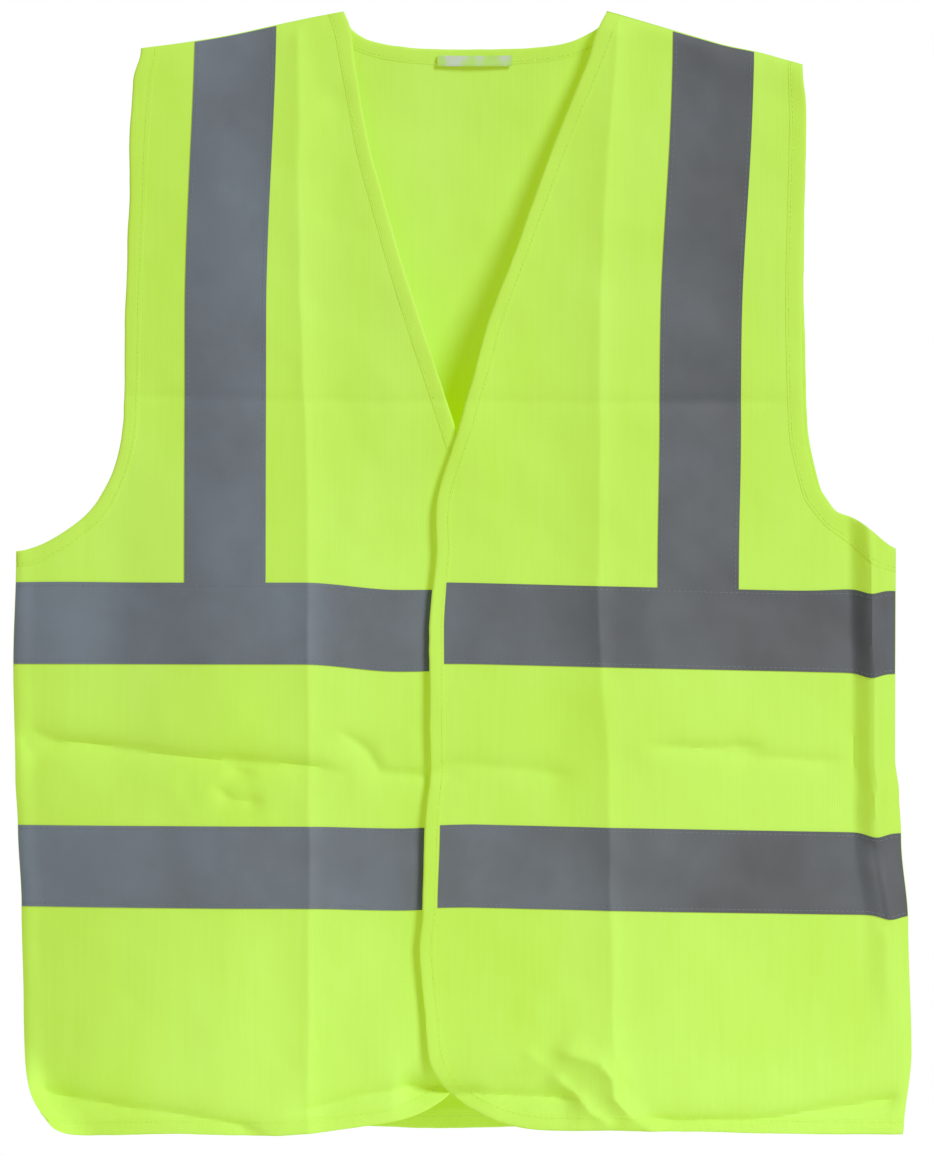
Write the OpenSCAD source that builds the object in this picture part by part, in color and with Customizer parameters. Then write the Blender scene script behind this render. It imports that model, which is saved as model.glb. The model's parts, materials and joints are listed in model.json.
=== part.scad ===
// High visibility vest: a knitted waistcoat with two shoulder tapes and two torso tapes.
// It stands as it hangs: the front faces -Y, the wearer's left is +X, and the origin is
// midway between the two neck points. The front and back panels form a wedge that is
// closed at the shoulders and sides and open at the hem. Each front panel is cut at a
// vertical fold line, where the real cloth bends when the front is opened.

/* [Body] */
// Length from the neck points to the hem at the centre
vest_len = 685; // [660:1:720]
// How much lower the hem hangs at the sides than at the fold lines
hem_drop = 6; // [0:1:10]
// Half the width across the chest
half_w = 273; // [260:1:290]
// Half the depth of the torso opening at the hem
hem_depth = 40; // [36:1:55]
// Distance of each fold line from the centre
fold_x = 96; // [94:1:104]

/* [Neck and shoulders] */
// Half the width of the neck at its two highest points
neck_half = 82; // [76:1:84]
// Half the width across the outer ends of the shoulders
shoulder_half = 202; // [196:1:206]
// How far the shoulders fall from the neck points to their outer ends
shoulder_drop = 28; // [20:1:36]
// Depth of the back neckline under the neck points
back_neck_depth = 25; // [20:1:35]
// Depth at which the V neck's two edges cross
v_depth = 257; // [240:1:275]

/* [Armholes] */
// Depth under the neck points at which the armhole starts to turn outwards
arm_turn = 245; // [235:1:250]
// Half width of the body at that depth
arm_turn_x = 208; // [204:1:212]
// Height of the armhole's rounded lower corner
arm_corner_h = 88; // [80:1:92]

/* [Front closure] */
// How far each front edge runs past the centre line
overlap = 24; // [20:1:28]
// Width of the rounded lower front corner
corner_w = 88; // [70:1:95]
// Height of the rounded lower front corner
corner_h = 85; // [70:1:95]
// Roundness of the corners: 2 is an ellipse, more is squarer
corner_power = 2.5; // [2:0.1:3]
// Width of each touch fastener patch
patch_w = 20; // [16:1:22]

/* [Tapes and bindings] */
// Width of every reflective tape
tape_w = 50; // [48:1:52]
// Distance of each shoulder tape's middle from the centre
tape_x = 147; // [144:1:152]
// Depth of the upper torso tape's top edge under the neck points
upper_tape_top = 351; // [348:1:356]
// Depth of the lower torso tape's top edge under the neck points
lower_tape_top = 500; // [490:1:520]
// Width of the edge bindings
binding_w = 9; // [7:0.5:10]

/* [Cloth thickness] */
// Thickness of the knitted panels
cloth_t = 1; // [0.8:0.1:1]
// Thickness of the reflective tape
tape_t = 0.5; // [0.3:0.1:0.5]
// Thickness of the folded bindings
binding_t = 1.6; // [1.2:0.1:1.6]
// Thickness of each touch fastener patch
patch_t = 0.8; // [0.5:0.1:0.8]

/* [Hidden] */

lime = [0.74, 0.93, 0.33];
deep_lime = [0.68, 0.86, 0.26];
tape_grey = [0.42, 0.44, 0.47];
patch_lime = [0.62, 0.82, 0.25];
label_white = [0.85, 0.87, 0.86];

front = -1;
back = 1;
// Half the gap between the front and back cloth where they are sewn together, to mid cloth
sewn_gap = 1.5;
// Clearance between pieces that lie side by side
edge_gap = 0.2;
// Clearance between pieces that lie on each other
layer_gap = 0.3;
// Half thickness and width of the seam allowances between the front and back cloth
seam_half_t = 0.6;
seam_w = 8;
// The front and back cloth would meet this far outside the side seams
side_slack = 2;
// How steeply the outer flap rises over the inner one, from its fold line to its edge
lap_slope = 0.0417;
// The tape on the inner flap stops here, where the hook patch starts
inner_tape_end = 12;
// The label's sewn edge is this far under the back neckline
label_drop = 1.5;
label_w = 46;
label_h = 7;
label_t = 0.6;
// Greatest column width of a curved panel, and the usual row height
col_step = 13;
row_step = 45;
// Steps along a rounded outline
arc_steps = 9;

// How far past the centre line each neck edge is at the depth where the V closes
cross_x = 4;
// The V neck's edge: sideways travel per unit of depth, and length per unit of depth
v_slope = (neck_half + cross_x) / v_depth;
v_length = sqrt(1 + v_slope * v_slope);
// The curve that turns the neck edge into the front edge, and where it ends
turn_h = 2 * (overlap - cross_x) / v_slope;
turn_end = v_depth + turn_h;
corner_top = vest_len - corner_h;

function lerp(a, b, t) = a + (b - a) * t;

function steps(from, to, n) = [for (k = [0 : n]) lerp(from, to, k / n)];

// Height of the shoulder line
function shoulder_z(x) =
    -shoulder_drop * max(0, abs(x) - neck_half) / (shoulder_half - neck_half);

// Height of the hem, raised by an inset
function hem_z(x, inset) =
    inset - vest_len - hem_drop * max(0, abs(x) - fold_x) / (half_w - fold_x);

// Distance of the cloth's middle from the plane of the seams
function mid_y(x, z) =
    let (out = max(0, abs(x) - fold_x))
    let (fall = shoulder_drop * out / (shoulder_half - fold_x))
    let (bulge = cos(90 * out / (half_w + side_slack - fold_x)))
    sewn_gap + hem_depth * max(0, -z - fall) / vest_len * bulge;

// The armhole's edge from the shoulder down to the side seam, moved into the panel
function armhole(inset) =
    let (rx = half_w - arm_turn_x + inset)
    let (rz = arm_corner_h + inset)
    let (lean = (arm_turn_x - shoulder_half) / (arm_turn - shoulder_drop))
    concat(
        [for (depth = steps(shoulder_drop, arm_turn, 5))
            let (x = shoulder_half - inset + lean * (depth - shoulder_drop))
            [x, depth == shoulder_drop ? shoulder_z(x) : -depth]],
        [for (a = steps(0, 90, arc_steps))
            if (a > 0) [half_w - rx * cos(a), -arm_turn - rz * sin(a)]]
    );

// The right half of the back neckline from the centre to the neck point
function back_neck(inset) =
    [for (a = steps(0, 90, arc_steps))
        let (x = (neck_half + inset) * pow(sin(a), 2 / corner_power))
        let (z = -(back_neck_depth + inset) * pow(max(0, cos(a)), 2 / corner_power))
        [x, min(z, shoulder_z(x))]];

// The V neck's edge of the outer flap, from the shoulder to the crossing
function neck_edge(inset) =
    let (fall = shoulder_drop / (shoulder_half - neck_half))
    let (out = inset * v_length / (1 + v_slope * fall))
    concat(
        [[neck_half + out, -fall * out]],
        [for (depth = steps(0, v_depth, 5))
            if (depth > 0) [neck_half + inset * v_length - v_slope * depth, -depth]]
    );

// Its front edge from the crossing down to the hem, with the rounded lower corner
function front_edge(inset) =
    let (rx = corner_w - inset)
    let (rz = corner_h - inset)
    concat(
        [for (d = steps(0, turn_h, 4))
            let (slack = inset * lerp(v_length, 1, d / turn_h))
            [slack - cross_x - v_slope * d * (1 - d / (2 * turn_h)), -v_depth - d]],
        [for (depth = steps(turn_end, corner_top, 5))
            if (depth > turn_end) [inset - overlap, -depth]],
        [for (a = steps(0, 90, arc_steps))
            if (a > 0)
            [corner_w - overlap - rx * pow(max(0, cos(a)), 2 / corner_power),
                -corner_top - rz * pow(sin(a), 2 / corner_power)]]
    );

// A sheet of cloth over a grid of [x, z] points. Rows run downwards and columns run
// towards +X. low and high are the two faces' distances outwards from mid cloth, and rise
// lifts the sheet towards the centre line.
module sheet(grid, side, low, high, rise = 0) {
    rows = len(grid);
    cols = len(grid[0]);
    count = rows * cols;
    function at(i, j) = i * cols + j;
    function point(p, off) =
        [p[0], side * (mid_y(p[0], p[1]) + off + rise * (fold_x - p[0])), p[1]];
    function turned(f) = side == front ? f : [f[2], f[1], f[0]];
    function wall(p, q) = [[q, p, p + count], [q, p + count, q + count]];
    cells = [for (i = [0 : rows - 2]) for (j = [0 : cols - 2])
        [at(i, j), at(i, j + 1), at(i + 1, j + 1), at(i + 1, j)]];
    outer = [for (c = cells) each [[c[0], c[1], c[2]], [c[0], c[2], c[3]]]];
    inner = [for (f = outer) [f[2] + count, f[1] + count, f[0] + count]];
    walls = concat(
        [for (j = [0 : cols - 2]) each wall(at(0, j), at(0, j + 1))],
        [for (j = [0 : cols - 2]) each wall(at(rows - 1, j + 1), at(rows - 1, j))],
        [for (i = [0 : rows - 2]) each wall(at(i, cols - 1), at(i + 1, cols - 1))],
        [for (i = [0 : rows - 2]) each wall(at(i + 1, 0), at(i, 0))]
    );
    polyhedron(
        points = concat(
            [for (row = grid) for (p = row) point(p, high)],
            [for (row = grid) for (p = row) point(p, low)]
        ),
        faces = [for (f = concat(outer, inner, walls)) turned(f)]
    );
}

// A strip of binding between an edge and the same edge inset by the binding's width
function strip(edge, inner_edge) = [for (k = [0 : len(edge) - 1]) [edge[k], inner_edge[k]]];

// A grid between two outlines with the same number of points
function between(left, right, n) =
    [for (k = [0 : len(left) - 1])
        [for (t = steps(0, 1, n)) lerp(left[k], right[k], t)]];

module binding(grid, side, rise = 0) {
    sheet(grid, side, -binding_t / 2, binding_t / 2, rise);
}

module tape(grid, side, rise = 0) {
    low = cloth_t / 2 + layer_gap;
    color(tape_grey) sheet(grid, side, low, low + tape_t, rise);
}

// The edge of the side panel and of the back panel from the shoulder to the hem
function outer_edge(inset) =
    let (hole = armhole(inset))
    let (seam_top = arm_turn + arm_corner_h + inset)
    let (rows = ceil((vest_len - seam_top) / row_step))
    concat(
        hole,
        [for (depth = steps(seam_top, -hem_z(half_w, inset), rows))
            if (depth > seam_top) [half_w - edge_gap, -depth]]
    );

// The body side of the fold line, level with a list of points
function fold_line(edge, inset) =
    let (x = fold_x + edge_gap)
    let (last = len(edge) - 1)
    [for (k = [0 : last])
        [x, k == 0 ? shoulder_z(x) : k == last ? hem_z(x, inset) : edge[k][1]]];

module side_panel() {
    inset = binding_w + edge_gap;
    edge = outer_edge(inset);
    grid = between(fold_line(edge, inset), edge, ceil((half_w - fold_x) / col_step));
    color(lime) sheet(grid, front, -cloth_t / 2, cloth_t / 2);
}

module back_panel() {
    inset = binding_w + edge_gap;
    edge = outer_edge(inset);
    scoop = back_neck(inset);
    reach = edge[0][0];
    shoulder = [for (x = steps(scoop[arc_steps][0], reach, 8))
        if (x > scoop[arc_steps][0]) [x, shoulder_z(x)]];
    half_top = concat(scoop, shoulder);
    last = len(half_top) - 1;
    top = concat(
        [for (k = [last : -1 : 1]) [-half_top[k][0], half_top[k][1]]],
        half_top
    );
    bottom = len(edge) - 1;
    grid = [for (i = [0 : bottom])
        [for (p = top)
            let (x = p[0] / reach * edge[i][0])
            [x, i == 0 ? p[1] : i == bottom ? hem_z(x, inset) : edge[i][1]]]];
    color(lime) sheet(grid, back, -cloth_t / 2, cloth_t / 2);
}

module flap_panel(rise) {
    inset = binding_w + edge_gap;
    edge = concat(neck_edge(inset), [for (p = front_edge(inset)) if (p[1] < -v_depth) p]);
    x = fold_x - edge_gap;
    fold = [for (k = [0 : len(edge) - 1]) [x, k == 0 ? shoulder_z(x) : edge[k][1]]];
    color(lime) sheet(between(edge, fold, 6), front, -cloth_t / 2, cloth_t / 2, rise);
}

module flap_neck_binding(rise) {
    color(deep_lime) binding(strip(neck_edge(0), neck_edge(binding_w)), front, rise);
}

module flap_front_binding(rise) {
    end = fold_x - edge_gap;
    outer = concat(front_edge(0), [[end, hem_z(end, 0)]]);
    inner = concat(front_edge(binding_w), [[end, hem_z(end, binding_w)]]);
    // The first points stand clear of the neck binding
    grid = [for (k = [0 : len(outer) - 1])
        [for (p = [outer[k], inner[k]]) k == 0 ? [p[0], p[1] - edge_gap] : p]];
    color(deep_lime) binding(grid, front, rise);
}

module armhole_binding(side) {
    color(deep_lime) binding(strip(armhole(binding_w), armhole(0)), side);
}

module back_neck_binding() {
    outer = back_neck(0);
    inner = back_neck(binding_w);
    ks = [for (k = [arc_steps : -1 : 1]) k];
    left = [for (k = ks) [[-outer[k][0], outer[k][1]], [-inner[k][0], inner[k][1]]]];
    right = strip(outer, inner);
    pairs = concat(left, right);
    grid = [for (row = [0, 1]) [for (p = pairs) p[row]]];
    color(deep_lime) binding(grid, back);
}

// A straight strip of the hem between two distances from the centre
function hem_grid(from, to) =
    [for (inset = [binding_w, 0])
        [for (x = steps(from, to, ceil(abs(to - from) / col_step))) [x, hem_z(x, inset)]]];

module side_hem_binding() {
    color(deep_lime) binding(hem_grid(fold_x + edge_gap, half_w - edge_gap), front);
}

module back_hem_binding() {
    color(deep_lime) binding(hem_grid(edge_gap - half_w, half_w - edge_gap), back);
}

// A level piece of tape between two distances from the centre
function band(from, to, top) =
    let (cols = ceil(abs(to - from) / col_step))
    [for (z = steps(-top, -top - tape_w, 2)) [for (x = steps(from, to, cols)) [x, z]]];

module side_band(top) {
    tape(band(fold_x + edge_gap, half_w - edge_gap, top), front);
}

module back_band(top) {
    tape(band(edge_gap - half_w, half_w - edge_gap, top), back);
}

module outer_flap_band(top) {
    tape(band(binding_w + edge_gap - overlap, fold_x - edge_gap, top), front, lap_slope);
}

module inner_flap_band(top) {
    tape(band(inner_tape_end, fold_x - edge_gap, top), front);
}

module shoulder_tape(side) {
    xs = steps(tape_x - tape_w / 2, tape_x + tape_w / 2, ceil(tape_w / col_step));
    bottom = edge_gap - upper_tape_top;
    rows = ceil(upper_tape_top / row_step);
    tape([for (t = steps(0, 1, rows)) [for (x = xs) [x, lerp(shoulder_z(x), bottom, t)]]],
        side);
}

module flat_between_cloths(outline) {
    color(deep_lime) rotate([90, 0, 0])
        linear_extrude(2 * seam_half_t, center = true) polygon(outline);
}

module shoulder_seam() {
    from = fold_x + layer_gap;
    to = shoulder_half - binding_w;
    flat_between_cloths([
        [from, shoulder_z(from)], [to, shoulder_z(to)],
        [to, shoulder_z(to) - seam_w], [from, shoulder_z(from) - seam_w]
    ]);
}

module side_seam() {
    outer = half_w - edge_gap;
    top = -arm_turn - arm_corner_h - binding_w;
    bottom = hem_z(outer, binding_w);
    flat_between_cloths([
        [outer - seam_w, top], [outer, top], [outer, bottom], [outer - seam_w, bottom]
    ]);
}

function patch_grid(top) =
    [for (z = [-top, -top - tape_w]) [for (x = [-patch_w / 2, patch_w / 2]) [x, z]]];

module loop_patch(top) {
    near = cloth_t / 2 + layer_gap;
    color(patch_lime)
        sheet(patch_grid(top), front, -near - patch_t, -near, lap_slope);
}

module hook_patch(top) {
    near = cloth_t / 2 + layer_gap;
    color(patch_lime) sheet(patch_grid(top), front, near, near + patch_t);
}

// The label hangs straight down from its sewn edge, inside the back neck
module neck_label() {
    top = -back_neck_depth - label_drop;
    y = mid_y(0, top) - binding_t / 2 - layer_gap - label_t;
    color(label_white) translate([-label_w / 2, y, top - label_h])
        cube([label_w, label_t, label_h]);
}

module mirrored() {
    mirror([1, 0, 0]) children();
}

back_panel();
side_panel();  // left_side_panel
mirrored() side_panel();  // right_side_panel
flap_panel(lap_slope);  // outer_flap_panel
mirrored() flap_panel(0);  // inner_flap_panel
shoulder_tape(front);  // left_shoulder_tape_front
mirrored() shoulder_tape(front);  // right_shoulder_tape_front
shoulder_tape(back);  // left_shoulder_tape_back
mirrored() shoulder_tape(back);  // right_shoulder_tape_back
back_band(upper_tape_top);  // upper_tape_back
back_band(lower_tape_top);  // lower_tape_back
side_band(upper_tape_top);  // upper_tape_left_side
mirrored() side_band(upper_tape_top);  // upper_tape_right_side
side_band(lower_tape_top);  // lower_tape_left_side
mirrored() side_band(lower_tape_top);  // lower_tape_right_side
outer_flap_band(upper_tape_top);  // outer_flap_upper_tape
outer_flap_band(lower_tape_top);  // outer_flap_lower_tape
mirrored() inner_flap_band(upper_tape_top);  // inner_flap_upper_tape
mirrored() inner_flap_band(lower_tape_top);  // inner_flap_lower_tape
armhole_binding(front);  // left_armhole_binding_front
armhole_binding(back);  // left_armhole_binding_back
mirrored() armhole_binding(front);  // right_armhole_binding_front
mirrored() armhole_binding(back);  // right_armhole_binding_back
back_neck_binding();
back_hem_binding();
side_hem_binding();  // left_side_hem_binding
mirrored() side_hem_binding();  // right_side_hem_binding
flap_neck_binding(lap_slope);  // outer_flap_neck_binding
flap_front_binding(lap_slope);  // outer_flap_front_binding
mirrored() flap_neck_binding(0);  // inner_flap_neck_binding
mirrored() flap_front_binding(0);  // inner_flap_front_binding
shoulder_seam();  // left_shoulder_seam
mirrored() shoulder_seam();  // right_shoulder_seam
side_seam();  // left_side_seam
mirrored() side_seam();  // right_side_seam
loop_patch(upper_tape_top);  // upper_loop_patch
loop_patch(lower_tape_top);  // lower_loop_patch
hook_patch(upper_tape_top);  // upper_hook_patch
hook_patch(lower_tape_top);  // lower_hook_patch
neck_label();
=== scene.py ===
"""A high visibility vest, hung with its front towards -Y and the wearer's left towards +X.

The cloth is laid out in the pattern's own coordinates, in millimetres: x from the centre line
and z down from the neck points. place() turns them into points of the hanging vest. Every
panel, tape, binding and stitch goes through it, so all of them share the same folds.
"""

import json
import math

import bpy
import numpy as np
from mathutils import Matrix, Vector


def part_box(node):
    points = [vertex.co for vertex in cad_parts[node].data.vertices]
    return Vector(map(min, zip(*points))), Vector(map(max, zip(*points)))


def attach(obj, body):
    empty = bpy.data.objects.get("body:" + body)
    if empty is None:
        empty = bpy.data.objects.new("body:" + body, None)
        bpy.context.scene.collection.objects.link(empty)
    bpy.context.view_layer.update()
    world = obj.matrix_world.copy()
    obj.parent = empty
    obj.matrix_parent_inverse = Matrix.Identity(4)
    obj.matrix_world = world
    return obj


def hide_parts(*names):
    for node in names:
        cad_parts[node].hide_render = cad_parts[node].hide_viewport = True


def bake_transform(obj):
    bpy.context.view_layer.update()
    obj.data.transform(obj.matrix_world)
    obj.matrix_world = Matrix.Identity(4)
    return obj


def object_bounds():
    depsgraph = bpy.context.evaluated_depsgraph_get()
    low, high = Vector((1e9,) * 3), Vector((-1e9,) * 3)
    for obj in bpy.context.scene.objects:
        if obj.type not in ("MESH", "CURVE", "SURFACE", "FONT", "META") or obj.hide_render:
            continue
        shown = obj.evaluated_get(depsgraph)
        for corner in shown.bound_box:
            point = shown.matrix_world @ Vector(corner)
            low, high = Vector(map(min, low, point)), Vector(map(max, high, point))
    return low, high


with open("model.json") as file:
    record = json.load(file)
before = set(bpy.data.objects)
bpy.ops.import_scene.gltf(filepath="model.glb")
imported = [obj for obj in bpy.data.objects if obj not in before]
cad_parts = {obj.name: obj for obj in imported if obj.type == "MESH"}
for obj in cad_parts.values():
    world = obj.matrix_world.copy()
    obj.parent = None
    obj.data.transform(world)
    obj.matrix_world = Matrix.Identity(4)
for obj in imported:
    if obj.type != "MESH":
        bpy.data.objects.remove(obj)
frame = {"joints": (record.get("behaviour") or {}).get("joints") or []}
cad_lo, cad_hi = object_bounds()

MM = 0.001
FRONT, BACK = -1, 1
LEFT, RIGHT = 1, -1  # the wearer's sides; the left is +X


def span(node):
    """A CAD node's lowest and highest corners, in millimetres."""
    lo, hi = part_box(node)
    return np.array(lo) / MM, np.array(hi) / MM


# Driving dimensions, read from the frame
CAD_GAP = 0.2  # between CAD pieces that meet
TAPE_LO, TAPE_HI = span("left_shoulder_tape_front")
TAPE_X = (TAPE_LO[0], TAPE_HI[0])
UPPER_TAPE = (-span("upper_tape_back")[1][2], -span("upper_tape_back")[0][2])
LOWER_TAPE = (-span("lower_tape_back")[1][2], -span("lower_tape_back")[0][2])
OVERLAP = -span("outer_flap_front_binding")[0][0]
BINDING_W = round(span("outer_flap_upper_tape")[0][0] + OVERLAP - CAD_GAP, 1)
HALF_W = round(span("left_armhole_binding_front")[1][0], 1)
ARM_END = -span("left_armhole_binding_front")[0][2] - BINDING_W
NECK_HALF = round(span("back_neck_binding")[1][0], 1) - BINDING_W
SHOULDER_HALF = round(span("left_armhole_binding_front")[0][0], 1) + BINDING_W
SHOULDER_FALL = span("left_armhole_binding_front")[1][2] / (SHOULDER_HALF - BINDING_W - NECK_HALF)
V_DEPTH = -span("outer_flap_neck_binding")[0][2]
FOLD_X = round(span("outer_flap_panel")[1][0] + CAD_GAP, 1)
VEST_LEN = -span("outer_flap_front_binding")[0][2]
HEM_DROP = -span("back_hem_binding")[0][2] - VEST_LEN
FOLD_AXIS = next(j["axis"] for j in frame["joints"] if j["name"] == "outer_flap_fold")
DEPTH_SLOPE = FOLD_AXIS[1] / FOLD_AXIS[2]

# The pattern's shape
SEWN_GAP = 1.5
BACK_NECK_DEPTH = 25
ARM_TURN = 245
ARM_TURN_X = 208
CORNER_W = 88
CORNER_H = 85
CORNER_POWER = 2.5
LAP_SLOPE = 0.0417
V_PAST = 4  # how far past the centre the V's edges cross
V_SLOPE = (NECK_HALF + V_PAST) / V_DEPTH
V_LENGTH = math.hypot(1, V_SLOPE)
TURN_H = 2 * (OVERLAP - V_PAST) / V_SLOPE

# Cloth and tape, as distances from the middle of the cloth
CLOTH_HALF_T = 0.2
TAPE_LOW, TAPE_HIGH = 0.5, 0.75

# Where pieces end: front tapes near the centre, panels inside their bindings, and what stops
# just short of a side seam or a shoulder seam
FRONT_TAPE_END = {LEFT: BINDING_W + CAD_GAP - OVERLAP, RIGHT: -span("inner_flap_upper_tape")[1][0]}
UNDER_BINDING = 2.0
SIDE_GAP, SHOULDER_GAP = 0.3, 0.6

# The size of a mesh's cells
CLOTH_STEP = 2.2
BACK_STEP = 1.14 * CLOTH_STEP
FRONT_TAPE_STEP = 1.6
SHOULDER_TAPE_GRID = 19, 125
BAND_STEP = 2.5
BINDING_STEP = 2.0
SEAM_STEP = 3.0
PATCH_STEP = 2.0

# The middle of a folded binding's cloth: how far across it, and how far from the panel's
BINDING_SECTION = (
    (1.0, 0.36), (0.94, 0.44), (0.86, 0.42), (0.80, 0.40), (0.72, 0.50), (0.5, 0.60),
    (0.25, 0.62), (0.09, 0.56), (0.02, 0.32), (0.0, 0.0),
)
BINDING_HALF_T = 0.12

# Seams: mid cloth's distance from their plane where it is sewn, how far from a seam the cloth
# rounds in, and how far its folds are held back
SEAM_MEET = 0.21
SEAM_ROUND, SEAM_HOLD = 7, 14
SEAM_START, SEAM_W, SEAM_HALF_T = 1.2, 10, 0.15
OVERSEW_PITCH = 2.2
OVERSEW_LOOP = ((-0.42, 2.2), (-0.2, -0.35), (0.2, -0.35), (0.42, 2.2))  # through, and inwards

# Stitches. A ring is how far along the stitch it is, and its share of the thread's radius
STITCH_PITCH = 3.2
STITCH_LEN = 2.5
STITCH_R = 0.17
STITCH_AT = 0.82
STITCH_INSET, STITCH_END = 2.1, 1.5
STITCH_LIFT = 0.04
STITCH_SIDES = 6
STITCH_RINGS = ((-0.5, 0.35), (-0.38, 1.0), (0.38, 1.0), (0.5, 0.35))
HEM_STITCH_LIFT = 0.56

# Touch fasteners and the label
PATCH_W, PATCH_T, PATCH_GAP, PATCH_SEWN = 20, 0.3, 0.1, 1.0
PILE_PITCH, PILE_MARGIN, PILE_ROOT = 1.3, (1.4, 1.2), 0.05
PILE_REACH, PILE_HEIGHT, PILE_R, PILE_OVERLAP = 0.42, 0.55, 0.07, 1.15
LABEL_SHIFT, LABEL_GAP, LABEL_HALF_T = 6, 0.3, 0.06
LABEL_LEAF = 0.47  # each leaf's share of the label's length; the fold takes the rest

# How far on each side of the fold line the fronts' grid is finer, and the corner that curls
# forwards
BLEND_OUT, BLEND_IN = 5, 11
CURL_AT, CURL_OUT, CURL_R = (-262, -640), (-0.784, -0.62), 20

# Looks: a painted glow on the cloth, standing in for the dye's fluorescence and for light bounced
# between its layers, which lightens its shade; and how the tape's tone changes per metre across the
# vest
PAINTED_GLOW, PAINTED_GLOW_STRENGTH = (0.75, 0.98, 0.0, 1.0), 0.35
TAPE_DRIFT = -1.2

# The studio, in metres. A sun is its name, the way to it, its strength and its width in degrees;
# VIEW_HEIGHT is what the camera sees at VIEW_PLANE, which is in front of the seams' plane
WORLD_LIGHT = 0.20
SUNS = (
    ("key", (0.9, -1.0, 0.8), 3.3, 22),
    ("fill", (-0.8, -1.0, -0.1), 0.3, 60),
    ("rear", (-0.9, 1.0, 0.7), 2.6, 20),
)
FLOOR_R, FLOOR_GAP = 0.6, 0.075
CAMERA_X, CAMERA_Z, CAMERA_FAR = 0.0012, -0.3482, 4.0
VIEW_HEIGHT, VIEW_PLANE = 0.7086, 0.015
SENSOR = 36

FLAP_BODY = {LEFT: "outer_flap", RIGHT: "inner_flap"}
SIDE_NAME = {LEFT: "left", RIGHT: "right"}


# -------- the pattern's outlines


def along(*parts):
    return np.concatenate([np.array(p, float).reshape(-1, 2) for p in parts])


def length(line):
    return np.linalg.norm(np.diff(line, axis=0), axis=1).sum()


def respaced(line, count):
    """The line again, with count evenly spaced points."""
    gaps = np.linalg.norm(np.diff(line, axis=0), axis=1)
    at = np.concatenate([[0], np.cumsum(gaps)])
    new = np.linspace(0, at[-1], count)
    return np.stack([np.interp(new, at, line[:, k]) for k in range(2)], axis=1)


def shoulder_z(x):
    return SHOULDER_FALL * np.maximum(0, np.abs(x) - NECK_HALF)


def hem_z(x, inset=0.0):
    out = np.maximum(0, np.abs(x) - FOLD_X) / (HALF_W - FOLD_X)
    return inset - VEST_LEN - HEM_DROP * out


def armhole(inset):
    """From the shoulder down to the side seam."""
    d = np.linspace(-shoulder_z(SHOULDER_HALF - inset), ARM_TURN, 60)
    drop = -shoulder_z(SHOULDER_HALF)
    lean = (ARM_TURN_X - SHOULDER_HALF) / (ARM_TURN - drop)
    a = np.linspace(0, math.pi / 2, 60)[1:]
    rx, rz = HALF_W - ARM_TURN_X + inset, ARM_END - ARM_TURN + inset
    return along(
        np.stack([SHOULDER_HALF - inset + lean * np.maximum(0, d - drop), -d], 1),
        np.stack([HALF_W - rx * np.cos(a), -ARM_TURN - rz * np.sin(a)], 1),
    )


def side_edge(inset):
    """From the shoulder past the armhole and down the side seam to the hem."""
    return along(armhole(inset), [[HALF_W, hem_z(HALF_W, inset)]])


def back_neck(inset):
    """The back neckline from the centre to the neck point."""
    a = np.linspace(0, math.pi / 2, 80)
    x = (NECK_HALF + inset) * np.sin(a) ** (2 / CORNER_POWER)
    z = -(BACK_NECK_DEPTH + inset) * np.cos(a).clip(0) ** (2 / CORNER_POWER)
    return np.stack([x, np.minimum(z, shoulder_z(x))], 1)


def neck_edge(inset):
    """The V neck from the shoulder to where the two edges cross."""
    out = inset * V_LENGTH / (1 - V_SLOPE * SHOULDER_FALL)
    top = -SHOULDER_FALL * out
    d = np.linspace(top, V_DEPTH, 60)
    return np.stack([NECK_HALF + inset * V_LENGTH - V_SLOPE * d, -d], 1)


def front_edge(inset):
    """From the crossing down to the hem, round the lower corner, and on to the fold line."""
    d = np.linspace(0, TURN_H, 30)
    slack = inset * (V_LENGTH + (1 - V_LENGTH) * d / TURN_H)
    corner_top = VEST_LEN - CORNER_H
    a = np.linspace(0, math.pi / 2, 60)[1:]
    rx, rz = CORNER_W - inset, CORNER_H - inset
    return along(
        np.stack([slack - V_PAST - V_SLOPE * d * (1 - d / (2 * TURN_H)), -V_DEPTH - d], 1),
        [[inset - OVERLAP, -corner_top]],
        np.stack(
            [
                CORNER_W - OVERLAP - rx * np.cos(a).clip(0) ** (2 / CORNER_POWER),
                -corner_top - rz * np.sin(a) ** (2 / CORNER_POWER),
            ],
            1,
        ),
    )


# -------- folds and creases


def noise(x, z, size, seed):
    """Smooth noise from -1 to 1 with bumps about size millimetres apart."""
    lattice = np.random.default_rng(seed).uniform(-1, 1, (128, 128))
    u, v = x / size + 40.3, z / size + 70.7
    i, j = np.floor(u).astype(int), np.floor(v).astype(int)
    fu, fv = u - i, v - j
    fu, fv = fu * fu * (3 - 2 * fu), fv * fv * (3 - 2 * fv)
    i, j = i % 127, j % 127
    top = lattice[i, j] * (1 - fu) + lattice[i + 1, j] * fu
    low = lattice[i, j + 1] * (1 - fu) + lattice[i + 1, j + 1] * fu
    return top * (1 - fv) + low * fv


def smooth(t):
    t = np.clip(t, 0, 1)
    return t * t * (3 - 2 * t)


def bump(x, z, cx, cz, rx, rz):
    """A soft round hill of height 1."""
    return np.exp(-(((x - cx) / rx) ** 2) - ((z - cz) / rz) ** 2)


def eased(v, *knots):
    """Smooth steps through (v, value) knots."""
    out = knots[0][1] + 0.0 * v
    for (v0, a), (v1, b) in zip(knots, knots[1:]):
        out = out + (b - a) * smooth((v - v0) / (v1 - v0))
    return out


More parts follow.
